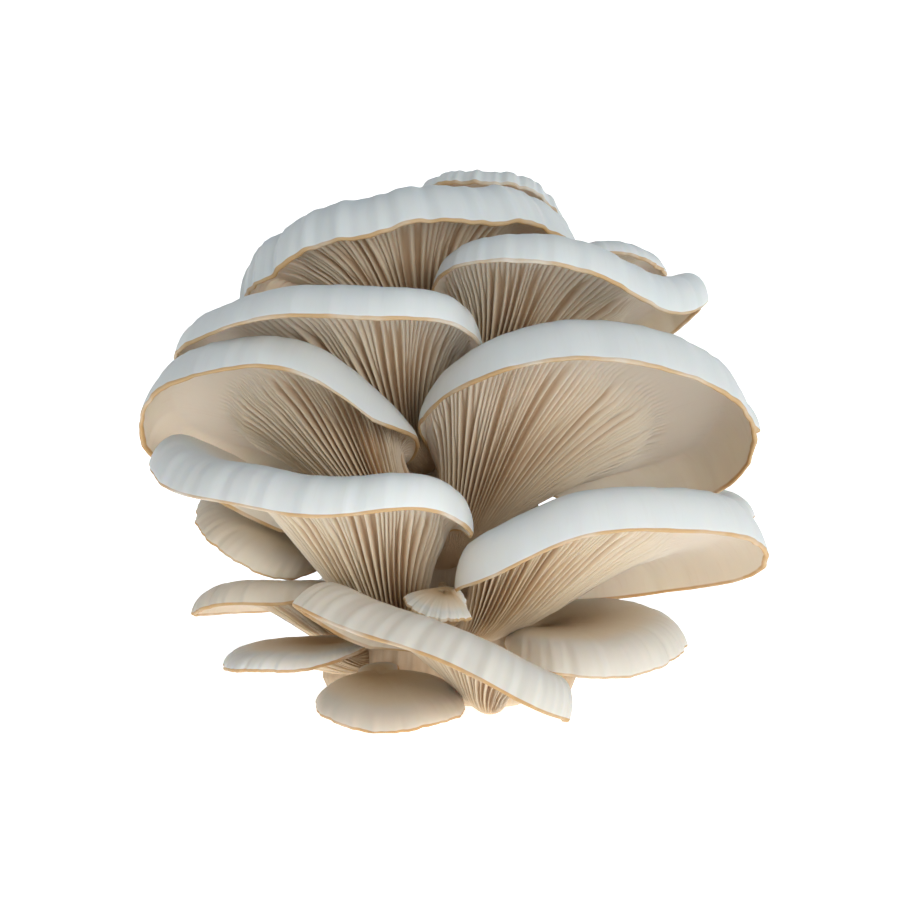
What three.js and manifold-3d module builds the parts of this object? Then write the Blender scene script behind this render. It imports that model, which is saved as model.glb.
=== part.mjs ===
// A cluster of white oyster mushrooms, standing on the cut face of its fused stems.
// Millimetres, +Z up, the cluster's front faces -Y, and the origin is the middle of the cut face.

import * as THREE from 'three';
import { mergeVertices } from 'three/addons/utils/BufferGeometryUtils.js';
import Module from 'manifold-3d';

const wasm = await Module();
wasm.setup();

// Driving dimensions of the flesh, shared by all caps.
const FLESH = 6.5; // thickness of a broad cap over its stem
const BROAD_CAP = 60; // reach of a cap that has that thickness
const EDGE = 2.0; // thickness of a cap at its margin
const FLESH_TAPER = 1.2; // power by which the flesh thins from the stem to the margin
const CURL = 8; // width of the margin that rolls down
const CURL_ANGLE = 78; // how far the margin turns down, in degrees
const CREST_TAPER = 0.6; // power by which a cap's crest is lower where its margin is nearer
const GILL_DEPTH = 2.0; // height of a gill above the flesh
const ROOM = 25; // reach beyond the stem that a full gill and a hanging margin need
const GILL_TAPER = 0.6; // power by which a gill fades out at both of its ends
const STEM_FLARE = 1.25; // a stem's thickness at its root against its top
const JOINT_GAP = 0.3; // clearance between a stem and the base that it grew from

// The base: fused stems, cut flat underneath.
const BASE_FLUTES = 7;
const BASE_FLUTE_DEPTH = 0.1; // as a share of the base's radius
const BASE_FLUTE_TWIST = 0.05; // how far the flutes' phase turns with height, in radians per millimetre
const BASE_SIDES = 28;
const BASE_PROFILE = [
  // radius and height of each ring, from the cut face up
  [28, 0],
  [30, 5],
  [29, 18],
  [25, 36],
  [20, 56],
  [17, 76],
  [13, 92],
];
const BASE_TOP = 97;

// Where the rings of a cap lie: 0 is over the stem, 1 is the margin, and the roll starts at SHOULDER.
const SHOULDER = 0.6;
const TOP_RINGS = [0.28, SHOULDER];
const ROLL_RINGS = [0.8, 1];
const UNDER_RINGS = [1, 0.76, 0.45];
const STEM_RINGS = [0.35, 1];

// Each mushroom. hub is where the gills meet, over the stem, and root is a height on the base's axis.
// drop says how a stem leaves its cap: 1 is straight down from the cap, 0 is backwards along it.
// turn is the heading of the cap: 0 is the cluster's front and 90 its right.
// frontUp and rightUp tilt the cap's plane: how far it rises towards the front and the right.
// front, back and width are measured in that plane from the hub. lift raises the cap around the hub
// into a funnel, and droop is how far its margin hangs below the crest.
// waves is the height, count and phase of the margin's undulations, and each bend moves the margin
// outwards and upwards around an angle, over a spread of angles.
const MUSHROOMS = [
  {
    name: 'mushroom_left_broad', hub: [-17, -31, 61], turn: -76, frontUp: 33, rightUp: -3,
    front: 59, back: 9, width: 68, lift: 11, droop: 13, waves: [0.9, 5, 40], gills: 26,
    stem: 6, root: 53, drop: 0.6,
    bends: [{ at: 125, out: -1.5, up: -7, spread: 40 }, { at: -100, out: -16, up: 4, spread: 45 }],
  },
  {
    name: 'mushroom_right_broad', hub: [5, -28, 54], turn: 60, frontUp: 31, rightUp: 0,
    front: 73, back: 11, width: 82, lift: 14, droop: 15, waves: [0.6, 4, 10], gills: 26,
    stem: 6, root: 35, drop: 0.5,
    bends: [
      { at: -155, out: -5, up: 4, spread: 25 },
      { at: -120, out: -3, up: 3, spread: 25 },
      { at: 120, out: -17, up: 5, spread: 40 },
    ],
  },
  {
    name: 'mushroom_left_middle', hub: [-12, -22, 75], turn: -48, frontUp: 18, rightUp: -1,
    front: 55, back: 11, width: 86, lift: 12, droop: 10, waves: [0.9, 5, 0], gills: 24,
    stem: 5.5, root: 62, drop: 0.5,
    bends: [{ at: -35, out: 2, up: 4, spread: 40 }, { at: 145, out: -7, up: 2, spread: 30 }],
  },
  {
    name: 'mushroom_top_left', hub: [-9, -14, 98], turn: -4, frontUp: 29, rightUp: 9,
    front: 38, back: 11, width: 84, lift: 15, droop: 15, waves: [0.8, 9, 20], gills: 24,
    stem: 5.5, root: 80, drop: 0.5,
    bends: [{ at: -80, out: 0, up: -2, spread: 40 }],
  },
  {
    name: 'mushroom_top_right', hub: [13, -22, 88], turn: 54, frontUp: 22, rightUp: -7,
    front: 53, back: 11, width: 72, lift: 11, droop: 11, waves: [0.6, 4, 0], gills: 22,
    stem: 5.5, root: 70, drop: 0.5,
    bends: [
      { at: 35, out: 0, up: 11, spread: 25 },
      { at: -15, out: 0, up: -3, spread: 20 },
      { at: -120, out: 3, up: 4, spread: 40 },
      { at: 85, out: -13, up: 8, spread: 38 },
    ],
  },
  {
    name: 'mushroom_lower_left', hub: [-15, -40, 31], turn: -46, frontUp: 2, rightUp: -7,
    front: 59, back: 10, width: 82, lift: 23, droop: 9, waves: [0.7, 5, 30], gills: 26,
    stem: 5.5, root: 26, drop: 0.3,
    bends: [
      { at: -50, out: 3, up: 8, spread: 35 },
      { at: -115, out: -19, up: 0, spread: 35 },
      { at: 85, out: 4, up: 5, spread: 35 },
      { at: 145, out: -6, up: 6, spread: 30 },
    ],
  },
  {
    name: 'mushroom_lower_right', hub: [12, -37, 30], turn: 54, frontUp: 15, rightUp: 0,
    front: 67, back: 10, width: 80, lift: 14, droop: 11, waves: [0.7, 4, 60], gills: 26,
    stem: 5.5, root: 28, drop: 0.2,
    bends: [{ at: -95, out: 2, up: -9, spread: 30 }, { at: -145, out: -13.5, up: -4, spread: 34 }],
  },
  {
    name: 'mushroom_bottom_front', hub: [5, -61, 13.5], turn: -32, frontUp: 10, rightUp: -24,
    front: 33, back: 9, width: 68, lift: 4.5, droop: 8.5, waves: [0.6, 4, 0], gills: 22,
    stem: 4, root: 12, drop: 0,
    bends: [{ at: -65, out: 6, up: 0, spread: 35 }],
  },
  {
    name: 'mushroom_crown_back', hub: [7, 14, 114], turn: 15, frontUp: 32, rightUp: -8,
    front: 32, back: 12, width: 44, lift: 9, droop: 8, waves: [0.8, 5, 0], gills: 16,
    stem: 5, root: 90, drop: 0.7, bends: [],
  },
  {
    name: 'mushroom_crown_right', hub: [29, 8, 105.5], turn: 85, frontUp: 10, rightUp: 0,
    front: 28, back: 8, width: 40, lift: 9, droop: 6, waves: [0.6, 4, 0], gills: 16,
    stem: 4.5, root: 82, drop: 0.7, bends: [],
  },
  {
    name: 'mushroom_right_upper_back', hub: [24, 2, 73], turn: 84, frontUp: 10, rightUp: -8,
    front: 56, back: 11, width: 52, lift: 10, droop: 8, waves: [0.7, 4, 0], gills: 18,
    stem: 5.5, root: 62, drop: 0.6, bends: [],
  },
  {
    name: 'mushroom_right_lower_back', hub: [26, 3, 40.5], turn: 80, frontUp: -6, rightUp: 4,
    front: 53, back: 12, width: 48, lift: 9, droop: 6, waves: [0.7, 4, 0], gills: 18,
    stem: 5.5, root: 33, drop: 0.5, bends: [],
  },
  {
    name: 'mushroom_left_leaf', hub: [-32, -9, 42], turn: -50, frontUp: -26, rightUp: -23,
    front: 35, back: 8, width: 44, lift: 4, droop: 5, waves: [0.6, 4, 0], gills: 16,
    stem: 4.5, root: 36, drop: 0.3,
    bends: [{ at: 105, out: -10, up: 0, spread: 40 }],
  },
  {
    name: 'mushroom_right_leaf', hub: [20, -25, 18.4], turn: 44, frontUp: -13, rightUp: 0,
    front: 42, back: 8, width: 50, lift: 8, droop: 6.5, waves: [0.5, 4, 0], gills: 16,
    stem: 4.5, root: 13, drop: 0.2,
    bends: [{ at: -125, out: -11, up: -1, spread: 45 }],
  },
  {
    name: 'mushroom_centre_small', hub: [-1.5, -61, 30], turn: -2, frontUp: -18, rightUp: -9,
    front: 15, back: 6, width: 18, lift: 2, droop: 3, waves: [0.3, 3, 0], gills: 12,
    stem: 1.2, root: 36, drop: 0.35,
    bends: [{ at: 95, out: -3, up: -3, spread: 50 }, { at: -135, out: -1, up: -2.5, spread: 45 }],
  },
  {
    name: 'mushroom_left_low', hub: [-31, -14, 23], turn: -58, frontUp: 8, rightUp: 4,
    front: 35, back: 9, width: 42, lift: 7, droop: 6, waves: [0.5, 4, 0], gills: 14,
    stem: 4.5, root: 22, drop: 0.2, bends: [],
  },
  {
    name: 'mushroom_left_lowest', hub: [-28, -27, 15.2], turn: -42, frontUp: -6, rightUp: 2,
    front: 33, back: 6, width: 29, lift: 3, droop: 3, waves: [0.4, 4, 0], gills: 14,
    stem: 3, root: 15, drop: 0.1, bends: [],
  },
  {
    name: 'mushroom_bottom_leaf', hub: [-17, -37, 9], turn: 12, frontUp: -14, rightUp: 0,
    front: 38, back: 8, width: 42, lift: 4, droop: 3, waves: [0.5, 5, 0], gills: 14,
    stem: 3, root: 8, drop: 0,
    bends: [{ at: -120, out: -11, up: -0.5, spread: 40 }, { at: 110, out: -14, up: 0, spread: 45 }],
  },
  {
    name: 'mushroom_back_upper', hub: [-12, 18, 86], turn: -140, frontUp: -18, rightUp: -8,
    front: 46, back: 12, width: 66, lift: 11, droop: 9, waves: [0.7, 5, 0], gills: 18,
    stem: 5.5, root: 70, drop: 0.5, bends: [],
  },
  {
    name: 'mushroom_back_middle', hub: [8, 27, 57], turn: 165, frontUp: -18, rightUp: 2,
    front: 46, back: 12, width: 70, lift: 11, droop: 9, waves: [0.7, 5, 50], gills: 18,
    stem: 5.5, root: 45, drop: 0.5, bends: [],
  },
  {
    name: 'mushroom_back_left', hub: [-26, 23, 45], turn: -120, frontUp: -12, rightUp: -6,
    front: 44, back: 12, width: 62, lift: 11, droop: 9, waves: [0.7, 5, 90], gills: 18,
    stem: 5.5, root: 34, drop: 0.5, bends: [],
  },
  {
    name: 'mushroom_back_low', hub: [14, 28, 27], turn: 150, frontUp: -8, rightUp: 4,
    front: 42, back: 12, width: 60, lift: 11, droop: 8, waves: [0.7, 5, 140], gills: 18,
    stem: 5.5, root: 16, drop: 0.3, bends: [],
  },
  {
    name: 'mushroom_back_right', hub: [21, 22, 87], turn: 122, frontUp: -14, rightUp: 8,
    front: 40, back: 10, width: 46, lift: 10, droop: 8, waves: [0.6, 4, 30], gills: 16,
    stem: 4.5, root: 78, drop: 0.4, bends: [],
  },
  {
    name: 'mushroom_back_small', hub: [-14, 29, 19], turn: -158, frontUp: -8, rightUp: -4,
    front: 34, back: 9, width: 40, lift: 7, droop: 6, waves: [0.5, 4, 70], gills: 14,
    stem: 4, root: 11, drop: 0.2, bends: [],
  },
  {
    name: 'mushroom_left_back', hub: [-23, 12, 60.5], turn: -104, frontUp: -2, rightUp: -8,
    front: 42, back: 10, width: 48, lift: 9, droop: 7, waves: [0.6, 4, 110], gills: 16,
    stem: 5, root: 55, drop: 0.5,
    bends: [{ at: 60, out: -3, up: -2, spread: 45 }],
  },
];

const radians = THREE.MathUtils.degToRad;

// The unit vectors of a cap's plane: along its heading, to that heading's right, and out of its top.
function capAxes(mushroom) {
  const turn = radians(mushroom.turn);
  const riseFront = Math.tan(radians(mushroom.frontUp));
  const riseRight = Math.tan(radians(mushroom.rightUp));
  const up = new THREE.Vector3(-riseRight, riseFront, 1).normalize();
  const forward = new THREE.Vector3(Math.sin(turn), -Math.cos(turn), 0);
  forward.z = riseRight * forward.x - riseFront * forward.y;
  forward.normalize();
  const side = new THREE.Vector3().crossVectors(up, forward);
  return { forward, side, up };
}

// A cap's thickness over its stem: smaller caps are thinner.
function flesh(mushroom) {
  return FLESH * Math.sqrt(Math.min(1, mushroom.front / BROAD_CAP));
}

// The margin at an angle: its distance from the hub, the direction there, how far it waves up, and how
// much room there is between it and the stem.
function marginAt(mushroom, angle) {
  const middle = (mushroom.front - mushroom.back) / 2;
  const forward = middle + ((mushroom.front + mushroom.back) / 2) * Math.cos(angle);
  const side = (mushroom.width / 2) * Math.sin(angle);
  const [height, count, phase] = mushroom.waves;
  let radius = Math.hypot(forward, side);
  let wave = height * Math.sin(count * angle + radians(phase)) * Math.min(1, radius / mushroom.front);
  for (const bend of mushroom.bends) {
    const away = Math.atan2(Math.sin(angle - radians(bend.at)), Math.cos(angle - radians(bend.at)));
    const share = Math.exp(-((away / radians(bend.spread)) ** 2));
    radius += bend.out * share;
    wave += bend.up * share;
  }
  const room = Math.min(1, Math.max(0, radius - mushroom.stem) / ROOM);
  return { radius, wave, room, heading: Math.atan2(side, forward) };
}

// The top of a cap on the meridian at a margin point, as distance from the hub and height.
function meridian(mushroom, edge, along) {
  const reach = Math.min(1, edge.radius / mushroom.front);
  const curl = CURL * Math.sqrt(reach);
  const crest = mushroom.lift * reach ** CREST_TAPER;
  const flat = edge.radius - curl;
  let distance = flat;
  let height = crest;
  if (along < SHOULDER) {
    const share = along / SHOULDER;
    distance = flat * share;
    height = crest * (1 - (1 - share) ** 2);
  } else {
    const most = radians(CURL_ANGLE);
    const angle = (most * (along - SHOULDER)) / (1 - SHOULDER);
    distance += (curl * Math.sin(angle)) / Math.sin(most);
    const hang = mushroom.droop * Math.sqrt(reach) * edge.room;
    height -= (hang * (1 - Math.cos(angle))) / (1 - Math.cos(most));
  }
  return new THREE.Vector2(distance, height + edge.wave * (distance / edge.radius) ** 2);
}

// The underside at the same place: the flesh's thickness below the top, and a gill's height more on a gill.
function underside(mushroom, edge, along, onGill) {
  const step = 0.01;
  const from = meridian(mushroom, edge, Math.max(0, along - step));
  const to = meridian(mushroom, edge, Math.min(1, along + step));
  const tangent = to.sub(from).normalize();
  const point = meridian(mushroom, edge, along);
  const share = Math.min(1, point.x / edge.radius);
  const gill = onGill && along < 1 ? GILL_DEPTH * edge.room * Math.sin(Math.PI * share) ** GILL_TAPER : 0;
  const depth = EDGE + (flesh(mushroom) - EDGE) * (1 - share) ** FLESH_TAPER + gill;
  point.x = Math.max(mushroom.stem, point.x + tangent.y * depth);
  point.y -= tangent.x * depth;
  return point;
}

// Joins rings of points, from a first pole to a last one, into one closed surface.
// A ring has as many points as the ring before it, or half or twice as many.
function closedSurface(firstPole, rings, lastPole) {
  const positions = [firstPole, ...rings.flat(), lastPole];
  const triangles = [];
  const last = positions.length - 1;
  let start = 1;
  const first = rings[0].length;
  for (let i = 0; i < first; i += 1) {
    triangles.push(0, start + i, start + ((i + 1) % first));
  }
  for (let r = 0; r + 1 < rings.length; r += 1) {
    const inner = rings[r].length;
    const outer = rings[r + 1].length;
    const next = start + inner;
    const count = Math.min(inner, outer);
    const a = (k) => start + ((k * inner) / count) % inner;
    const b = (k) => next + ((k * outer) / count) % outer;
    for (let i = 0; i < count; i += 1) {
      if (outer > inner) {
        const between = b(i) + 1;
        triangles.push(a(i), b(i), between, a(i), between, a(i + 1), a(i + 1), between, b(i + 1));
      } else if (outer < inner) {
        const between = a(i) + 1;
        triangles.push(a(i), b(i), between, between, b(i), b(i + 1), between, b(i + 1), a(i + 1));
      } else {
        triangles.push(a(i), b(i), b(i + 1), a(i), b(i + 1), a(i + 1));
      }
    }
    start = next;
  }
  const final = rings[rings.length - 1].length;
  for (let i = 0; i < final; i += 1) {
    triangles.push(start + i, last, start + ((i + 1) % final));
  }
  const geometry = new THREE.BufferGeometry().setFromPoints(positions);
  geometry.setIndex(triangles);
  return geometry;
}

function baseAxis(height) {
  return new THREE.Vector3(0, 0, height);
}

// One mushroom as one closed surface: the cap's top, its margin, the gills below and the stem.
function mushroomGeometry(mushroom) {
  const { forward, side, up } = capAxes(mushroom);
  const hub = new THREE.Vector3(...mushroom.hub);
  const fine = mushroom.gills * 2;
  const coarse = mushroom.gills;
  const place = (heading, point) => hub.clone()
    .addScaledVector(forward, Math.cos(heading) * point.x)
    .addScaledVector(side, Math.sin(heading) * point.x)
    .addScaledVector(up, point.y);
  const ring = (count, pointAt) => Array.from({ length: count }, (_, i) => {
    const edge = marginAt(mushroom, (2 * Math.PI * i) / count);
    return place(edge.heading, pointAt(edge, i));
  });

  const top = TOP_RINGS.map((along) => ring(coarse, (edge) => meridian(mushroom, edge, along)));
  const roll = ROLL_RINGS.map((along) => ring(fine, (edge) => meridian(mushroom, edge, along)));
  const under = UNDER_RINGS.map((along) => ring(fine, (edge, i) => (
    underside(mushroom, edge, along, i % 2 === 0))));

  const stemTop = hub.clone().addScaledVector(up, -flesh(mushroom));
  const root = baseAxis(mushroom.root);
  const bow = stemTop.distanceTo(root) / 2;
  const bend = stemTop.clone()
    .addScaledVector(up, -bow * mushroom.drop)
    .addScaledVector(forward, -bow * (1 - mushroom.drop));
  const path = new THREE.QuadraticBezierCurve3(stemTop, bend, root);
  const stem = STEM_RINGS.map((along) => {
    const centre = path.getPoint(along);
    const tangent = path.getTangent(along);
    const lean = new THREE.Quaternion().setFromUnitVectors(up.clone().negate(), tangent);
    const ahead = forward.clone().applyQuaternion(lean);
    const across = side.clone().applyQuaternion(lean);
    const radius = mushroom.stem * (1 + (STEM_FLARE - 1) * along);
    return Array.from({ length: coarse }, (_, i) => {
      const { heading } = marginAt(mushroom, (2 * Math.PI * i) / coarse);
      return centre.clone()
        .addScaledVector(ahead, Math.cos(heading) * radius)
        .addScaledVector(across, Math.sin(heading) * radius);
    });
  });
  return closedSurface(hub, [...top, ...roll, ...under, ...stem], root);
}

// The fused stems: a fluted trunk with a flat cut face. grow makes it larger all over.
function baseGeometry(grow) {
  const rings = BASE_PROFILE.map(([radius, height]) => Array.from({ length: BASE_SIDES }, (_, i) => {
    const angle = (2 * Math.PI * i) / BASE_SIDES;
    const flute = 1 + BASE_FLUTE_DEPTH * Math.cos(BASE_FLUTES * angle + BASE_FLUTE_TWIST * height);
    const reach = radius * flute + grow;
    return baseAxis(height - (height === 0 ? grow : 0))
      .add(new THREE.Vector3(reach * Math.sin(angle), reach * Math.cos(angle), 0));
  })).reverse();
  return closedSurface(baseAxis(BASE_TOP + grow), rings.map((ring) => ring.reverse()), baseAxis(-grow));
}

function toSolid(geometry) {
  const merged = mergeVertices(geometry);
  return new wasm.Manifold(new wasm.Mesh({
    numProp: 3,
    vertProperties: new Float32Array(merged.attributes.position.array),
    triVerts: new Uint32Array(merged.index.array),
  }));
}

function toGeometry(solid) {
  const mesh = solid.getMesh();
  const geometry = new THREE.BufferGeometry();
  geometry.setAttribute('position', new THREE.BufferAttribute(mesh.vertProperties, 3));
  geometry.setIndex(new THREE.BufferAttribute(mesh.triVerts, 1));
  return geometry;
}

const capFlesh = new THREE.MeshStandardMaterial({ color: '#e6e1d8', roughness: 0.55, metalness: 0 });
const baseFlesh = new THREE.MeshStandardMaterial({ color: '#d9cbb4', roughness: 0.7, metalness: 0 });

const cluster = new THREE.Group();
const base = new THREE.Mesh(baseGeometry(0), baseFlesh);
base.name = 'fused_stem_base';
cluster.add(base);

const baseWithGap = toSolid(baseGeometry(JOINT_GAP));
for (const mushroom of MUSHROOMS) {
  const whole = toSolid(mushroomGeometry(mushroom));
  const mesh = new THREE.Mesh(toGeometry(whole.subtract(baseWithGap)), capFlesh);
  mesh.name = mushroom.name;
  cluster.add(mesh);
}

export default cluster;
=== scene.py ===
"""Looks of a standing cluster of oyster mushrooms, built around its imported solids."""

import math

import bmesh
import bpy
import numpy as np
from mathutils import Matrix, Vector


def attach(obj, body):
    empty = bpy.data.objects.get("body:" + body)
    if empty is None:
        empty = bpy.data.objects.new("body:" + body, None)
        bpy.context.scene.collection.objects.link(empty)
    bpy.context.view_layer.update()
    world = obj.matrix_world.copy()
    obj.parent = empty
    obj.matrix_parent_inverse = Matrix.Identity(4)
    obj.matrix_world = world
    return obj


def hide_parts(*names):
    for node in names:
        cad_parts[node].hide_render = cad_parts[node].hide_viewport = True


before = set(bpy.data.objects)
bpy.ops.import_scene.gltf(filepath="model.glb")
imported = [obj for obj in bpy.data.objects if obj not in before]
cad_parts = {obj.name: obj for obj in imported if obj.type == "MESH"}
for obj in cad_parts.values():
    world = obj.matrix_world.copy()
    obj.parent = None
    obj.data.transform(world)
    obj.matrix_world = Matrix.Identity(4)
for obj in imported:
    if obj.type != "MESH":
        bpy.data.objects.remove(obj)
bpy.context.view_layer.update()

MM = 0.001
WELD = 1e-7  # distance within which points of a skin are one point

# Flesh that all caps share, in millimetres.
FLESH = 6.5  # thickness of a broad cap over its stem
BROAD_CAP = 60  # reach of a cap that has that thickness
EDGE = 1.1  # thickness of a cap at its margin
FLESH_TAPER = 1.2  # power by which the flesh thins from the stem to the margin
CURL = 8  # width of the margin that rolls down
CURL_ANGLE = math.radians(78)  # how far the margin turns down
CREST_TAPER = 0.6  # power by which a cap's crest is lower where its margin is nearer
GILL_DEPTH = 2.3  # height of a gill above the flesh
ROOM = 25  # reach beyond the stem that a full gill and a hanging margin need
GILL_END = 0.97  # share of the reach where the gills end
GILL_FADE = 0.3  # share of the reach over which they sink into the smooth margin
BLADE_SHARPNESS = 1.8  # the larger it is, the thinner the gills
STEM_FLARE = 1.25  # a stem's thickness at its root against its top
UNEVENNESS = 0.22  # height of the gentle dents in the flesh

# Where a cap's rows lie: 0 is over the stem, 1 is the margin, and the roll starts at SHOULDER.
SHOULDER = 0.6
THROAT = 0.45  # the gills turn down towards the stem from here
THROAT_END = 0.35  # share of the stem's length where they have run out
THROAT_PULL = 0.3  # how rounded that turn is, as a share of its length
ROLL_CROWDING = 1.5  # power by which the roll's rows crowd towards the margin
TOP_ROWS = 10
ROLL_ROWS = 9
RIM_ROWS = 5
UNDER_ROWS = 14
THROAT_ROWS = 9
STEM_ROWS = 6
SAMPLES_PER_GILL = 12

# The base: fused stems, cut flat underneath. Each ring is a radius and a height.
BASE_PROFILE = [(28, 0), (30, 5), (29, 18), (25, 36), (20, 56), (17, 76), (13, 92)]
BASE_TOP = 97
BASE_FLUTES = 7
BASE_FLUTE_DEPTH = 0.1  # as a share of the base's radius
BASE_FLUTE_TWIST = 0.05  # radians per millimetre of height
BASE_FIBRES = 61
BASE_FIBRE_DEPTH = 0.35
BASE_COLUMNS = 488
BASE_ROWS = 120
CUT_ROWS = 14

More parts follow.
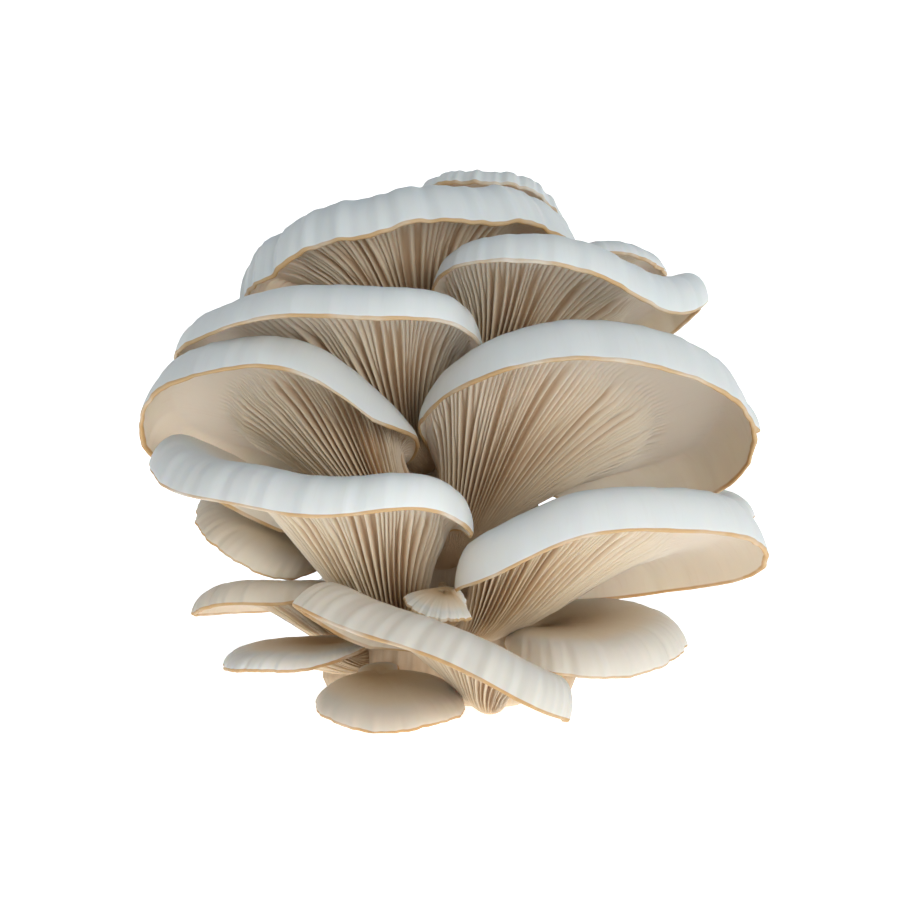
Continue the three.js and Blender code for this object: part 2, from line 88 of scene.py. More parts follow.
# Each mushroom, in millimetres and degrees. hub is where the gills meet and root is a height on the
# base's axis. turn is the cap's heading, 0 to the front and 90 to the right; front_up and right_up
# tilt its plane. front, back and width reach from the hub, lift raises the cap into a funnel, and
# droop is how far its margin hangs. waves is the height, count and phase of the margin's waves.
# Each bend is an angle, how far it moves the margin out and up, and its spread. Each bald spot is
# an angle and spread where the gills stop short of the margin, and by what share of the reach.
# ragged is how uneven the margin is, and tan how far the top's colour goes from white to tan,
# partly the cap's own cream tone and partly painted shade on caps that sit in shade.
MUSHROOMS = {
    "left_broad": dict(
        hub=(-17, -31, 61), turn=-76, front_up=33, right_up=-3,
        front=59, back=9, width=68, lift=11, droop=13, waves=(0.9, 5, 40), gills=60,
        stem=6, root=53, drop=0.6, bald=[(-10, 55, 0.55)], ragged=0.1, tan=0,
        bends=[(125, -1.5, -7, 40), (-100, -16, 4, 45)],
    ),
    "right_broad": dict(
        hub=(5, -28, 54), turn=60, front_up=31, right_up=0,
        front=73, back=11, width=82, lift=14, droop=15, waves=(0.6, 4, 10), gills=60,
        stem=6, root=35, drop=0.5, bald=[(12, 45, 0.5)], ragged=0.12, tan=0,
        bends=[(-155, -5, 4, 25), (-120, -3, 3, 25), (120, -17, 5, 40)],
    ),
    "left_middle": dict(
        hub=(-12, -22, 75), turn=-48, front_up=18, right_up=-1,
        front=55, back=11, width=86, lift=12, droop=10, waves=(0.9, 5, 0), gills=56,
        stem=5.5, root=62, drop=0.5, bald=[(-55, 35, 0.25)], ragged=0.1, tan=0,
        bends=[(-35, 2, 4, 40), (145, -7, 2, 30)],
    ),
    "top_left": dict(
        hub=(-9, -14, 98), turn=-4, front_up=29, right_up=9,
        front=38, back=11, width=84, lift=15, droop=15, waves=(0.8, 9, 20), gills=56,
        stem=5.5, root=80, drop=0.5, bald=[(-80, 25, 0.2), (85, 25, 0.2)], ragged=0.3, tan=0,
        bends=[(-80, 0, -2, 40)],
    ),
    "top_right": dict(
        hub=(13, -22, 88), turn=54, front_up=22, right_up=-7,
        front=53, back=11, width=72, lift=11, droop=11, waves=(0.6, 4, 0), gills=52,
        stem=5.5, root=70, drop=0.5, bald=[(28, 34, 0.45)], ragged=0.15, tan=0,
        bends=[(35, 0, 11, 25), (-15, 0, -3, 20), (-120, 3, 4, 40), (85, -13, 8, 38)],
    ),
    "lower_left": dict(
        hub=(-15, -40, 31), turn=-46, front_up=2, right_up=-7,
        front=59, back=10, width=82, lift=23, droop=9, waves=(0.7, 5, 30), gills=60,
        stem=5.5, root=26, drop=0.3, bald=[(-50, 35, 0.35), (95, 28, 0.5)], ragged=0.15, tan=0,
        bends=[(-50, 3, 8, 35), (-115, -19, 0, 35), (85, 4, 5, 35), (145, -6, 6, 30)],
    ),
    "lower_right": dict(
        hub=(12, -37, 30), turn=54, front_up=15, right_up=0,
        front=67, back=10, width=80, lift=14, droop=11, waves=(0.7, 4, 60), gills=60,
        stem=5.5, root=28, drop=0.2, bald=[(8, 45, 0.55), (-110, 25, 0.4)], ragged=0.12, tan=0,
        bends=[(-95, 2, -9, 30), (-145, -13.5, -4, 34)],
    ),
    "bottom_front": dict(
        hub=(5, -61, 13.5), turn=-32, front_up=10, right_up=-24,
        front=33, back=9, width=68, lift=4.5, droop=8.5, waves=(0.6, 4, 0), gills=52,
        stem=4, root=12, drop=0, bald=[(65, 35, 0.4)], ragged=0.2, tan=0.3,
        bends=[(-65, 6, 0, 35)],
    ),
    "crown_back": dict(
        hub=(7, 14, 114), turn=15, front_up=32, right_up=-8,
        front=32, back=12, width=44, lift=9, droop=8, waves=(0.8, 5, 0), gills=40,
        stem=5, root=90, drop=0.7, bald=[(0, 70, 0.5)], ragged=0.25, tan=0,
        bends=[],
    ),
    "crown_right": dict(
        hub=(29, 8, 105.5), turn=85, front_up=10, right_up=0,
        front=28, back=8, width=40, lift=9, droop=6, waves=(0.6, 4, 0), gills=40,
        stem=4.5, root=82, drop=0.7, bald=[], ragged=0.2, tan=0,
        bends=[],
    ),
    "right_upper_back": dict(
        hub=(24, 2, 73), turn=84, front_up=10, right_up=-8,
        front=56, back=11, width=52, lift=10, droop=8, waves=(0.7, 4, 0), gills=46,
        stem=5.5, root=62, drop=0.6, bald=[], ragged=0.2, tan=0,
        bends=[],
    ),
    "right_lower_back": dict(
        hub=(26, 3, 40.5), turn=80, front_up=-6, right_up=4,
        front=53, back=12, width=48, lift=9, droop=6, waves=(0.7, 4, 0), gills=46,
        stem=5.5, root=33, drop=0.5, bald=[], ragged=0.2, tan=0,
        bends=[],
    ),
    "left_leaf": dict(
        hub=(-32, -9, 42), turn=-50, front_up=-26, right_up=-23,
        front=35, back=8, width=44, lift=4, droop=5, waves=(0.6, 4, 0), gills=40,
        stem=4.5, root=36, drop=0.3, bald=[], ragged=0.2, tan=0.6,
        bends=[(105, -10, 0, 40)],
    ),
    "right_leaf": dict(
        hub=(20, -25, 18.4), turn=44, front_up=-13, right_up=0,
        front=42, back=8, width=50, lift=8, droop=6.5, waves=(0.5, 4, 0), gills=40,
        stem=4.5, root=13, drop=0.2, bald=[], ragged=0.2, tan=0.3,
        bends=[(-125, -11, -1, 45)],
    ),
    "centre_small": dict(
        hub=(-1.5, -61, 30), turn=-2, front_up=-18, right_up=-9,
        front=15, back=6, width=18, lift=2, droop=3, waves=(0.3, 3, 0), gills=26,
        stem=1.2, root=36, drop=0.35, bald=[], ragged=0.2, tan=0.2,
        bends=[(95, -3, -3, 50), (-135, -1, -2.5, 45)],
    ),
    "left_low": dict(
        hub=(-31, -14, 23), turn=-58, front_up=8, right_up=4,
        front=35, back=9, width=42, lift=7, droop=6, waves=(0.5, 4, 0), gills=36,
        stem=4.5, root=22, drop=0.2, bald=[], ragged=0.2, tan=0.5,
        bends=[],
    ),
    "left_lowest": dict(
        hub=(-28, -27, 15.2), turn=-42, front_up=-6, right_up=2,
        front=33, back=6, width=29, lift=3, droop=3, waves=(0.4, 4, 0), gills=36,
        stem=3, root=15, drop=0.1, bald=[], ragged=0.2, tan=0,
        bends=[],
    ),
    "bottom_leaf": dict(
        hub=(-17, -37, 9), turn=12, front_up=-14, right_up=0,
        front=38, back=8, width=42, lift=4, droop=3, waves=(0.5, 5, 0), gills=36,
        stem=3, root=8, drop=0, bald=[], ragged=0.2, tan=0.45,
        bends=[(-120, -11, -0.5, 40), (110, -14, 0, 45)],
    ),
    "back_upper": dict(
        hub=(-12, 18, 86), turn=-140, front_up=-18, right_up=-8,
        front=46, back=12, width=66, lift=11, droop=9, waves=(0.7, 5, 0), gills=46,
        stem=5.5, root=70, drop=0.5, bald=[], ragged=0.2, tan=0,
        bends=[],
    ),
    "back_middle": dict(
        hub=(8, 27, 57), turn=165, front_up=-18, right_up=2,
        front=46, back=12, width=70, lift=11, droop=9, waves=(0.7, 5, 50), gills=46,
        stem=5.5, root=45, drop=0.5, bald=[], ragged=0.2, tan=0,
        bends=[],
    ),
    "back_left": dict(
        hub=(-26, 23, 45), turn=-120, front_up=-12, right_up=-6,
        front=44, back=12, width=62, lift=11, droop=9, waves=(0.7, 5, 90), gills=46,
        stem=5.5, root=34, drop=0.5, bald=[], ragged=0.2, tan=0,
        bends=[],
    ),
    "back_low": dict(
        hub=(14, 28, 27), turn=150, front_up=-8, right_up=4,
        front=42, back=12, width=60, lift=11, droop=8, waves=(0.7, 5, 140), gills=46,
        stem=5.5, root=16, drop=0.3, bald=[], ragged=0.2, tan=0,
        bends=[],
    ),
    "back_right": dict(
        hub=(21, 22, 87), turn=122, front_up=-14, right_up=8,
        front=40, back=10, width=46, lift=10, droop=8, waves=(0.6, 4, 30), gills=40,
        stem=4.5, root=78, drop=0.4, bald=[], ragged=0.2, tan=0,
        bends=[],
    ),
    "back_small": dict(
        hub=(-14, 29, 19), turn=-158, front_up=-8, right_up=-4,
        front=34, back=9, width=40, lift=7, droop=6, waves=(0.5, 4, 70), gills=36,
        stem=4, root=11, drop=0.2, bald=[], ragged=0.2, tan=0,
        bends=[],
    ),
    "left_back": dict(
        hub=(-23, 12, 60.5), turn=-104, front_up=-2, right_up=-8,
        front=42, back=10, width=48, lift=9, droop=7, waves=(0.6, 4, 110), gills=40,
        stem=5, root=55, drop=0.5, bald=[], ragged=0.2, tan=0,
        bends=[(60, -3, -2, 45)],
    ),
}


def eased(value, low, high):
    """0 below low, 1 above high, and a smooth rise between them."""
    share = np.clip((value - low) / (high - low), 0, 1)
    return share * share * (3 - 2 * share)


def bump_at(angle, at, spread):
    """1 at an angle of the margin, falling off on both sides of it; both in degrees."""
    away = np.angle(np.exp(1j * (angle - math.radians(at))))
    return np.exp(-((away / math.radians(spread)) ** 2))


def scattered(index):
    """A fixed value from 0 to 1 for each whole number, as if drawn at random."""
    return np.modf(np.abs(np.sin(index * 12.9898 + 4.1) * 43758.5453))[0]


def cap_axes(cap):
    """Unit vectors along the cap's heading, to that heading's side, and out of its top."""
    turn = math.radians(cap["turn"])
    rise_front = math.tan(math.radians(cap["front_up"]))
    rise_right = math.tan(math.radians(cap["right_up"]))
    up = Vector((-rise_right, rise_front, 1)).normalized()
    forward = Vector((math.sin(turn), -math.cos(turn), 0))
    forward.z = rise_right * forward.x - rise_front * forward.y
    forward.normalize()
    return np.array(forward), np.array(up.cross(forward)), np.array(up)


def margin(cap, angle):
    """The margin's distance from the hub, its direction, its wave, and the room up to the stem."""
    forward = (cap["front"] - cap["back"]) / 2 + (cap["front"] + cap["back"]) / 2 * np.cos(angle)
    side = cap["width"] / 2 * np.sin(angle)
    height, count, phase = cap["waves"]
    radius = np.hypot(forward, side)
    reach = np.minimum(1, radius / cap["front"])
    wave = height * np.sin(count * angle + math.radians(phase)) * reach
    for at, out, up, spread in cap["bends"]:
        radius = radius + out * bump_at(angle, at, spread)
        wave = wave + up * bump_at(angle, at, spread)
    ragged = np.sin(17 * angle + 1.3) + 0.8 * np.sin(29 * angle) + 0.5 * np.sin(53 * angle + 2)
    radius = radius + cap["ragged"] * reach * ragged
    room = np.clip((radius - cap["stem"]) / ROOM, 0, 1)
    return {"radius": radius, "wave": wave, "room": room, "heading": np.arctan2(side, forward)}


def top_line(cap, edge, along):
    """The top of the cap on every meridian, as distance from the hub and height."""
    reach = np.minimum(1, edge["radius"] / cap["front"])
    curl = CURL * np.sqrt(reach)
    crest = cap["lift"] * reach ** CREST_TAPER
    flat = edge["radius"] - curl
    if along < SHOULDER:
        share = along / SHOULDER
        distance = flat * share
        height = crest * (1 - (1 - share) ** 2)
    else:
        angle = CURL_ANGLE * (along - SHOULDER) / (1 - SHOULDER)
        hang = cap["droop"] * np.sqrt(reach) * edge["room"]
        distance = flat + curl * math.sin(angle) / math.sin(CURL_ANGLE)
        height = crest - hang * (1 - math.cos(angle)) / (1 - math.cos(CURL_ANGLE))
    return np.stack([distance, height + edge["wave"] * (distance / edge["radius"]) ** 2], axis=1)


def flesh(cap):
    """A cap's thickness over its stem: smaller caps are thinner."""
    return FLESH * math.sqrt(min(1, cap["front"] / BROAD_CAP))


def heading_at(cap, edge, along):
    """The unit direction of the top line, outwards."""
    step = 0.01
    run = top_line(cap, edge, min(1, along + step)) - top_line(cap, edge, max(0, along - step))
    return run / np.linalg.norm(run, axis=1, keepdims=True)


def under_line(cap, edge, along):
    """The flesh below the top line, without its gills."""
    run = heading_at(cap, edge, along)
    line = top_line(cap, edge, along)
    share = np.minimum(1, line[:, 0] / edge["radius"])
    depth = EDGE + (flesh(cap) - EDGE) * (1 - share) ** FLESH_TAPER
    distance = np.maximum(cap["stem"], line[:, 0] + run[:, 1] * depth)
    return np.stack([distance, line[:, 1] - run[:, 0] * depth], axis=1)


def rim_line(cap, edge, turn):
    """The rounded edge, from the top at turn 0 to the underside at a half turn."""
    top, below = top_line(cap, edge, 1), under_line(cap, edge, 1)
    bulge = heading_at(cap, edge, 1) * (EDGE / 2)
    return (top + below) / 2 + (top - below) / 2 * math.cos(turn) + bulge * math.sin(turn)


def blades(cap, angle, outward):
    """How far each point is up a gill: 1 on its edge, 0 in the valley between two gills."""
    wander = 0.30 * np.sin(3 * angle + cap["turn"]) + 0.16 * np.sin(8 * angle + 5 * outward)
    wander = wander + 0.10 * np.sin(13 * angle - 7 * outward + cap["root"])
    phase = cap["gills"] * angle / (2 * math.pi) + wander
    long_gill = (0.5 + 0.5 * np.cos(2 * math.pi * phase)) ** BLADE_SHARPNESS
    short_gill = (0.5 - 0.5 * np.cos(2 * math.pi * phase)) ** BLADE_SHARPNESS
    number = np.mod(np.floor(phase), cap["gills"])
    start = 0.28 + 0.34 * scattered(number)
    height = 0.82 + 0.18 * scattered(np.mod(np.floor(phase + 0.5), cap["gills"]) + 91)
    return np.maximum(long_gill * height, short_gill * 0.85 * eased(outward, start, start + 0.16))


def stem_path(cap, axes, along):
    """A point of the stem's middle line and its direction, from the cap to the base's axis."""
    forward, _, up = axes
    top = np.array(cap["hub"]) - up * flesh(cap)
    root = np.array([0.0, 0.0, cap["root"]])
    bow = np.linalg.norm(root - top) / 2
    knee = top - up * bow * cap["drop"] - forward * bow * (1 - cap["drop"])
    point = top * (1 - along) ** 2 + knee * 2 * along * (1 - along) + root * along**2
    run = (knee - top) * (1 - along) + (root - knee) * along
    return point, run / np.linalg.norm(run)


def stem_ring(cap, axes, edge, along):
    """The ring of points round the stem there, and the stem's direction."""
    forward, side, up = (Vector(axis) for axis in axes)
    point, run = stem_path(cap, axes, along)
    lean = (-up).rotation_difference(Vector(run))
    ahead, across = np.array(lean @ forward), np.array(lean @ side)
    radius = cap["stem"] * (1 + (STEM_FLARE - 1) * along)
    ring = np.outer(np.cos(edge["heading"]), ahead) + np.outer(np.sin(edge["heading"]), across)
    return point + radius * ring, run


def surface_normals(points):
    """Outward unit normals of rows of points that close round a piece."""
    down = np.gradient(points, axis=0)
    ring = points[:, :-1]
    round_it = np.roll(ring, -1, axis=1) - np.roll(ring, 1, axis=1)
    round_it = np.concatenate([round_it, round_it[:, :1]], axis=1)
    normals = np.cross(down, round_it)
    return normals / np.maximum(np.linalg.norm(normals, axis=2, keepdims=True), 1e-9)


def dents(points, seed):
    """A gentle unevenness over the flesh, from -1 to 1."""
    x, y, z = points[..., 0], points[..., 1], points[..., 2]
    wide = np.sin(x / 5.1 + seed) * np.sin(y / 6.3 + 2 * seed) * np.sin(z / 4.7 + 1.0)
    fine = np.sin(x / 2.3 + y / 3.1 + seed) * np.sin(y / 2.7 - z / 2.1)
    return 0.7 * wide + 0.3 * fine


def wrapped_skin(name, points, marks, material):
    """A grid wrapped into a closed skin: columns go round the piece and rows from end to end."""
    rows, columns = points.shape[:2]
    shape = bmesh.new()
    shape.loops.layers.uv.new("UVMap")
    bmesh.ops.create_grid(
        shape, x_segments=columns - 1, y_segments=rows - 1, size=0.5, calc_uvs=True)
    floats = shape.verts.layers.float
    layers = [(floats.new(mark), values.ravel()) for mark, values in marks.items()]
    for index, (vertex, place) in enumerate(zip(shape.verts, points.reshape(-1, 3) * MM)):
        vertex.co = place
        for layer, values in layers:
            vertex[layer] = values[index]
    bmesh.ops.remove_doubles(shape, verts=shape.verts, dist=WELD)
    bmesh.ops.recalc_face_normals(shape, faces=shape.faces)
    for face in shape.faces:
        face.smooth = True
    mesh = bpy.data.meshes.new(name)
    shape.to_mesh(mesh)
    shape.free()
    mesh.materials.append(material)
    piece = bpy.data.objects.new(name, mesh)
    bpy.context.scene.collection.objects.link(piece)
    return piece


def mushroom(name, cap, material):
    """One mushroom in one skin: the cap's top, its margin, the gills below and the stem."""
    axes = cap_axes(cap)
    forward, side, up = axes
    angle = np.linspace(0, 2 * math.pi, cap["gills"] * SAMPLES_PER_GILL + 1)
    edge = margin(cap, angle)
    ahead = np.outer(np.cos(edge["heading"]), forward) + np.outer(np.sin(edge["heading"]), side)
    skin = []
    outward = []
    under = []
    rim = []
    strength = []
    stalk = []

    def add(points, out, below=0.0, on_rim=0.0, gilled=0.0, on_stem=0.0):
        skin.append(points)
        for marks, value in ((outward, out), (under, below), (rim, on_rim), (stalk, on_stem),
                             (strength, gilled)):
            marks.append(np.broadcast_to(value, angle.shape))

    def place(line):
        return np.array(cap["hub"]) + ahead * line[:, :1] + np.outer(line[:, 1], up)

    for along in np.linspace(0, SHOULDER, TOP_ROWS, endpoint=False):
        line = top_line(cap, edge, along)
        add(place(line), line[:, 0] / edge["radius"])
    for share in np.linspace(1, 0, ROLL_ROWS):
        along = 1 - (1 - SHOULDER) * share**ROLL_CROWDING
        line = top_line(cap, edge, along)
        add(place(line), line[:, 0] / edge["radius"], on_rim=1.0 - math.ceil(share))
    for turn in np.linspace(0, math.pi, RIM_ROWS + 1)[1:-1]:
        add(place(rim_line(cap, edge, turn)), 1, turn / math.pi, 1)

    stop = np.full(angle.shape, GILL_END)
    for at, spread, short in cap["bald"]:
        stop = stop - short * bump_at(angle, at, spread)
    for along in np.linspace(1, THROAT, UNDER_ROWS):
        line = under_line(cap, edge, along)
        out = np.minimum(1, line[:, 0] / edge["radius"])
        gilled = 1 - eased(out, stop - GILL_FADE, stop)
        add(place(line), out, 1, math.floor(along), gilled)

    lip = under_line(cap, edge, THROAT)
    inner = under_line(cap, edge, THROAT - 0.02)
    lip_place = place(lip)
    run_in = place(inner) - lip_place
    run_in = run_in / np.linalg.norm(run_in, axis=1, keepdims=True)
    collar, run_down = stem_ring(cap, axes, edge, THROAT_END)
    pull = np.linalg.norm(collar - lip_place, axis=1, keepdims=True) * THROAT_PULL
    lip_out = np.minimum(1, lip[:, 0] / edge["radius"])
    for along in np.linspace(0, 1, THROAT_ROWS + 1)[1:]:
        points = (
            lip_place * (1 - along) ** 3
            + (lip_place + run_in * pull) * 3 * along * (1 - along) ** 2
            + (collar - run_down * pull) * 3 * along**2 * (1 - along)
            + collar * along**3
        )
        add(points, lip_out * (1 - along), 1, 0, 1 - eased(along, 0.55, 1.0), along**3)
    for along in np.linspace(THROAT_END, 1, STEM_ROWS)[1:]:
        add(stem_ring(cap, axes, edge, along)[0], 0, 1, on_stem=1)
    add(np.broadcast_to(stem_path(cap, axes, 1)[0], skin[0].shape), 0, 1, on_stem=1)

    points = np.stack(skin)
    marks = {"outward": np.stack(outward), "under": np.stack(under), "rim": np.stack(rim),
             "stalk": np.stack(stalk), "tan": np.full(points.shape[:2], cap["tan"])}
    gilled = np.stack(strength)
    ridge = blades(cap, angle[None, :], marks["outward"])
    depth = GILL_DEPTH * gilled * np.sin(math.pi * np.clip(marks["outward"], 0.08, 1)) ** 0.5
    depth = depth * math.sqrt(min(1, cap["front"] / BROAD_CAP)) * edge["room"]
    # The valleys between the gills, where the flesh material paints shade.
    marks["valley"] = gilled * (1 - ridge) * marks["under"]
    rise = depth * ridge + UNEVENNESS * dents(points, cap["turn"])
    rise[0] = rise[-1] = 0
    points = points + surface_normals(points) * rise[..., None]
    piece = wrapped_skin(name + "_skin", points, marks, material)
    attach(piece, "root")
    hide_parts(name)
    return piece


def fused_base(name, material):
    """The trunk of fused stems, with fibres along it and a flat cut face."""
    heights = np.linspace(BASE_TOP, 0, BASE_ROWS)
    ring_heights = [height for _, height in BASE_PROFILE] + [BASE_TOP]
    ring_radii = [radius for radius, _ in BASE_PROFILE] + [0]
    radii = np.interp(heights, ring_heights, ring_radii)
    angle = np.linspace(0, 2 * math.pi, BASE_COLUMNS + 1)
    flute = 1 + BASE_FLUTE_DEPTH * np.cos(BASE_FLUTES * angle + BASE_FLUTE_TWIST * heights[:, None])
    fibre = np.cos(BASE_FIBRES * angle + np.sin(heights[:, None] / 9) + 2 * np.sin(3 * angle))
    fibre = fibre * (0.6 + 0.4 * np.sin(5 * angle + heights[:, None] / 14))
    reach = radii[:, None] * flute + BASE_FIBRE_DEPTH * fibre * eased(radii[:, None], 0, 10)
    inward = np.linspace(1, 0, CUT_ROWS + 1)[1:, None]
    reach = np.concatenate([reach, reach[-1:] * inward])
    levels = np.concatenate([heights, np.zeros(CUT_ROWS)])
    cut = np.concatenate([eased(-heights, -1.5, 0), np.ones(CUT_ROWS)])
    points = np.stack([
        reach * np.sin(-angle),
        reach * np.cos(-angle),
        np.broadcast_to(levels[:, None], reach.shape),
    ], axis=2)
    marks = {"cut": np.broadcast_to(cut[:, None], reach.shape).copy(),
             "height": np.broadcast_to(levels[:, None] / BASE_TOP, reach.shape).copy()}
    piece = wrapped_skin(name + "_skin", points, marks, material)
    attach(piece, "root")
    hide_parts(name)
    return piece


def colour(code):
    """A colour written as red, green and blue pairs of hexadecimal digits, as linear light."""
    parts = np.array([int(code[place:place + 2], 16) / 255 for place in (0, 2, 4)])
    linear = np.where(parts < 0.04045, parts / 12.92, ((parts + 0.055) / 1.055) ** 2.4)
    return (*linear.tolist(), 1)


def put(tree, kind, sockets=None, **settings):
    """Adds a node with its settings; each socket gets a link or a plain value."""
    made = tree.nodes.new(kind)
    for key, value in settings.items():
        setattr(made, key, value)
    for key, value in (sockets or {}).items():
        feed(tree, made.inputs[key], value)
    return made


def feed(tree, socket, value):
    """Links another node's output to a socket, or sets the socket's own value."""
    if isinstance(value, bpy.types.NodeSocket):
        tree.links.new(value, socket)
    else:
        socket.default_value = value


def blend(tree, share, first, second):
    """A colour that goes from first to second with share."""
    made = put(tree, "ShaderNodeMix", {0: share, 6: first, 7: second}, data_type="RGBA")
    return made.outputs[2]


def sums(tree, operation, first, second=0.0, clamp=False):
    """One sum on two values."""
    made = put(tree, "ShaderNodeMath", {0: first, 1: second}, operation=operation, use_clamp=clamp)
    return made.outputs[0]


def rise(tree, value, low, high, top=1.0):
    """0 below low, top above high, and a smooth rise between them."""
    sockets = {"Value": value, "From Min": low, "From Max": high, "To Max": top}
    made = put(tree, "ShaderNodeMapRange", sockets, interpolation_type="SMOOTHSTEP")
    return made.outputs["Result"]


def mark(tree, name):
    """A value that the skin carries at its points."""
    return put(tree, "ShaderNodeAttribute", attribute_name=name).outputs["Fac"]


def new_group(name, inputs, outputs):
    """An empty node group with named value sockets, and its input and output nodes."""
    group = bpy.data.node_groups.new(name, "ShaderNodeTree")
    for key, kind in inputs.items():
        group.interface.new_socket(key, in_out="INPUT", socket_type=kind)
    for key in outputs:
        group.interface.new_socket(key, in_out="OUTPUT", socket_type="NodeSocketFloat")
    return group, put(group, "NodeGroupInput"), put(group, "NodeGroupOutput")


def mottling_group():
    """Soft blotches and a fine grain, both from 0 to 1 around a half."""
    inputs = {
        "Place": "NodeSocketVector",
        "Blotch Scale": "NodeSocketFloat",
        "Grain Scale": "NodeSocketFloat",
    }
    group, start, end = new_group("flesh mottling", inputs, ["Blotch", "Grain"])
    for output, scale, detail in (("Blotch", "Blotch Scale", 3.0), ("Grain", "Grain Scale", 4.0)):
        noise = put(group, "ShaderNodeTexNoise", {
            "Vector": start.outputs["Place"], "Scale": start.outputs[scale], "Detail": detail})
        feed(group, end.inputs[output], noise.outputs["Fac"])
    return group


def fibre_group():
    """Fine streaks that run along a piece, from 0 to 1 around a half."""
    inputs = {"UV": "NodeSocketVector", "Around": "NodeSocketFloat", "Along": "NodeSocketFloat"}
    group, start, end = new_group("flesh fibres", inputs, ["Streak"])
    scales = {0: start.outputs["Around"], 1: start.outputs["Along"]}
    stretch = put(group, "ShaderNodeCombineXYZ", scales)
    place = put(group, "ShaderNodeVectorMath", {0: start.outputs["UV"], 1: stretch.outputs[0]},
                operation="MULTIPLY")
    sockets = {"Vector": place.outputs[0], "Scale": 1.0, "Detail": 3.0}
    noise = put(group, "ShaderNodeTexNoise", sockets)
    feed(group, end.inputs["Streak"], noise.outputs["Fac"])
    return group


def new_material(name):
    """A material with a Principled shader, and the coordinates that its patterns use."""
    material = bpy.data.materials.new(name)
    material.use_nodes = True
    tree = material.node_tree
    shader = tree.nodes["Principled BSDF"]
    place = put(tree, "ShaderNodeTexCoord")
    return material, tree, shader, place.outputs["Object"], place.outputs["UV"]


def soft_flesh(shader, glow):
    """Moist flesh: a dull gloss and a little light that passes under the skin."""
    shader.inputs["Specular IOR Level"].default_value = 0.3
    shader.inputs["Subsurface Weight"].default_value = glow
    shader.inputs["Subsurface Radius"].default_value = (1.0, 0.65, 0.42)
    shader.inputs["Subsurface Scale"].default_value = 2.5 * MM


def mushroom_flesh(mottling, fibres):
    """White tops with a painted blue-grey shade on the crest, turning tan towards the stem partly
    by their own tone and partly by painted shade; cream gills with painted shade in their valleys,
    darkest towards the stem; and an amber rim.
    """
    material, tree, shader, place, skin = new_material("oyster mushroom flesh")
    outward, under, rim = mark(tree, "outward"), mark(tree, "under"), mark(tree, "rim")
    valley, stalk = mark(tree, "valley"), mark(tree, "stalk")
    mottle = put(tree, "ShaderNodeGroup", {}, node_tree=mottling)
    feed(tree, mottle.inputs["Place"], place)
    mottle.inputs["Blotch Scale"].default_value = 70
    mottle.inputs["Grain Scale"].default_value = 900
    streaks = put(tree, "ShaderNodeGroup", {}, node_tree=fibres)
    feed(tree, streaks.inputs["UV"], skin)
    streaks.inputs["Around"].default_value = 240
    streaks.inputs["Along"].default_value = 9
    blotch, grain = mottle.outputs["Blotch"], mottle.outputs["Grain"]
    streak = streaks.outputs["Streak"]

    uneven = sums(tree, "MULTIPLY_ADD", blotch, 0.12)
    uneven.node.inputs[2].default_value = -0.06
    reach = sums(tree, "ADD", outward, uneven)
    # Tan towards the stem: partly the flesh's own tone and partly painted shade where the caps
    # around and above shade the hub.
    top = blend(tree, rise(tree, reach, 0.2, 0.85), colour("C7AB86"), colour("DAD6CB"))
    # Painted shade: the blue-grey on the roll's crest, with a painted cool sky tint, stands in for
    # the top darkening where it turns away from the light.
    top = blend(tree, rise(tree, reach, 0.7, 0.9), top, colour("D3DBDF"))
    top = blend(tree, rise(tree, reach, 0.86, 1.0), top, colour("E3E8E8"))
    top = blend(tree, rise(tree, streak, 0.5, 0.8, 0.1), top, colour("CFCBC4"))
    # Per cap tan: partly the cap's own cream tone, partly painted shade on caps that sit in shade.
    top = blend(tree, mark(tree, "tan"), top, colour("CFBFA2"))

    cream = blend(tree, rise(tree, reach, 0.2, 0.9), colour("E0CCB0"), colour("EADFD0"))
    cream = blend(tree, rise(tree, streak, 0.5, 0.8, 0.15), cream, colour("D3BFA4"))
    # Painted shade in the gill valleys, darkest towards the stem, mixed over the cream gills.
    painted_valley_shade = blend(tree, rise(tree, outward, 0.15, 0.85), colour("A88460"), colour("D2B797"))
    gills = blend(tree, rise(tree, valley, 0.2, 0.95, 0.85), cream, painted_valley_shade)
    stem = blend(tree, streak, colour("C9AA85"), colour("DECBB0"))
    below = blend(tree, stalk, gills, stem)
    whole = blend(tree, rise(tree, under, 0.45, 0.55), top, below)
    amber = sums(tree, "MULTIPLY", rise(tree, rim, 0.7, 0.95), rise(tree, blotch, 0.1, 0.6, 0.85))
    whole = blend(tree, amber, whole, colour("BE9452"))

    speck = put(tree, "ShaderNodeTexVoronoi", {"Vector": place, "Scale": 130.0})
    chance = rise(tree, speck.outputs["Color"], 0.965, 0.97)
    dot = sums(tree, "MULTIPLY", chance, rise(tree, speck.outputs["Distance"], 0.09, 0.05, 0.7))
    whole = blend(tree, dot, whole, colour("8C7A66"))
    feed(tree, shader.inputs["Base Color"], whole)
    dullness = sums(tree, "ADD", rise(tree, grain, 0.2, 0.8, 0.15), 0.5)
    feed(tree, shader.inputs["Roughness"], dullness)

    relief = sums(tree, "ADD", sums(tree, "MULTIPLY", grain, 0.5), streak)
    bump = put(tree, "ShaderNodeBump", {"Strength": 0.12, "Distance": 0.2 * MM, "Height": relief})
    feed(tree, shader.inputs["Normal"], bump.outputs["Normal"])
    soft_flesh(shader, 0.35)
    return material


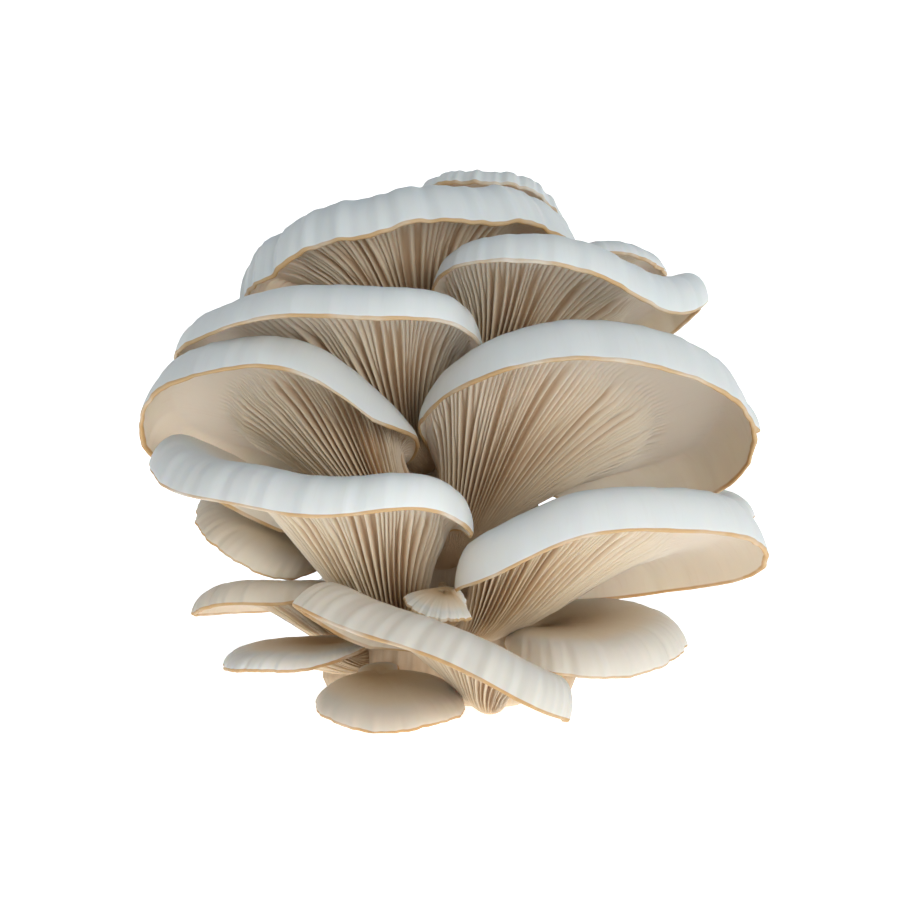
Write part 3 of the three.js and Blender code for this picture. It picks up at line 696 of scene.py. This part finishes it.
def base_flesh(mottling, fibres):
    """Dull cream flesh, streaked along the stems and browned in blotches, with a paler cut."""
    material, tree, shader, place, skin = new_material("fused stem flesh")
    cut, height = mark(tree, "cut"), mark(tree, "height")
    mottle = put(tree, "ShaderNodeGroup", {}, node_tree=mottling)
    feed(tree, mottle.inputs["Place"], place)
    mottle.inputs["Blotch Scale"].default_value = 55
    mottle.inputs["Grain Scale"].default_value = 700
    streaks = put(tree, "ShaderNodeGroup", {}, node_tree=fibres)
    feed(tree, streaks.inputs["UV"], skin)
    streaks.inputs["Around"].default_value = 130
    streaks.inputs["Along"].default_value = 8
    blotch, grain = mottle.outputs["Blotch"], mottle.outputs["Grain"]
    streak = streaks.outputs["Streak"]

    side = blend(tree, streak, colour("B79A76"), colour("E4D6C0"))
    side = blend(tree, rise(tree, blotch, 0.52, 0.72, 0.6), side, colour("A9875F"))
    side = blend(tree, rise(tree, height, 0.0, 0.5, 0.4), side, colour("E6DACA"))
    face = blend(tree, grain, colour("D9C6A6"), colour("EFE6D6"))
    face = blend(tree, rise(tree, blotch, 0.5, 0.68, 0.7), face, colour("B99A6E"))
    feed(tree, shader.inputs["Base Color"], blend(tree, cut, side, face))
    dullness = sums(tree, "ADD", rise(tree, grain, 0.1, 0.8, 0.2), 0.6)
    feed(tree, shader.inputs["Roughness"], dullness)
    relief = sums(tree, "ADD", grain, sums(tree, "MULTIPLY", streak, 1.5))
    bump = put(tree, "ShaderNodeBump", {"Strength": 0.4, "Distance": 0.5 * MM, "Height": relief})
    feed(tree, shader.inputs["Normal"], bump.outputs["Normal"])
    soft_flesh(shader, 0.15)
    return material


def paper_sweep():
    """A pale floor that curves up into a backdrop."""
    depth, half_width, bend, front = 1.6, 2.2, 0.5, -1.4
    shape = bmesh.new()
    bmesh.ops.create_grid(shape, x_segments=2, y_segments=60, size=0.5)
    for vertex in shape.verts:
        run = front + (vertex.co.y + 0.5) * (depth - front + bend * math.pi / 2 + 1.6)
        turn = min(max((run - depth) / bend, 0), math.pi / 2)
        wall = max(run - depth - bend * math.pi / 2, 0)
        vertex.co = (
            vertex.co.x * 2 * half_width,
            min(run, depth) + bend * math.sin(turn),
            bend * (1 - math.cos(turn)) + wall,
        )
    for face in shape.faces:
        face.smooth = True
    mesh = bpy.data.meshes.new("paper_sweep")
    shape.to_mesh(mesh)
    shape.free()
    material, tree, shader, _, _ = new_material("pale paper")
    shader.inputs["Base Color"].default_value = (0.92, 0.92, 0.92, 1)
    shader.inputs["Roughness"].default_value = 0.9
    shader.inputs["Emission Color"].default_value = (1, 1, 1, 1)
    shader.inputs["Emission Strength"].default_value = 0.8
    mesh.materials.append(material)
    sweep = bpy.data.objects.new("paper_sweep", mesh)
    bpy.context.scene.collection.objects.link(sweep)


def soft_light(name, place, aim, size, watts, tint):
    """A square soft light at a place, turned to a point."""
    lamp = bpy.data.lights.new(name, "AREA")
    lamp.shape = "SQUARE"
    lamp.size = size
    lamp.energy = watts
    lamp.color = tint
    holder = bpy.data.objects.new(name, lamp)
    holder.location = place
    holder.rotation_euler = (Vector(aim) - Vector(place)).to_track_quat("-Z", "Y").to_euler()
    bpy.context.scene.collection.objects.link(holder)


def daylight():
    """Overcast light: an even pale sky, a large light above and a weaker one in front."""
    world = bpy.data.worlds.new("overcast sky")
    world.use_nodes = True
    sky = world.node_tree.nodes["Background"]
    sky.inputs["Color"].default_value = (0.9, 0.96, 1.0, 1)
    sky.inputs["Strength"].default_value = 0.28
    bpy.context.scene.world = world
    middle = (0, 0, 0.07)
    soft_light("sky_above", (0.35, -0.35, 1.0), middle, 0.9, 1.5, (0.93, 0.98, 1.0))
    soft_light("front_fill", (0.5, -1.0, 0.05), middle, 0.7, 8, (1.0, 0.98, 0.95))


def photo_camera():
    """A level camera in front of the cluster, in line with its middle."""
    camera = bpy.data.cameras.new("front camera")
    camera.sensor_width = 36
    camera.lens = 80
    camera.clip_start = 0.01
    holder = bpy.data.objects.new("front_camera", camera)
    holder.location = (0, -0.518, 0.063)
    holder.rotation_euler = (math.pi / 2, 0, 0)
    bpy.context.scene.collection.objects.link(holder)
    bpy.context.scene.camera = holder


mottling = mottling_group()
fibres = fibre_group()
cap_material = mushroom_flesh(mottling, fibres)
for short_name, cap in MUSHROOMS.items():
    mushroom("mushroom_" + short_name, cap, cap_material)
fused_base("fused_stem_base", base_flesh(mottling, fibres))
paper_sweep()
daylight()
photo_camera()
bpy.context.scene.view_settings.view_transform = "Standard"
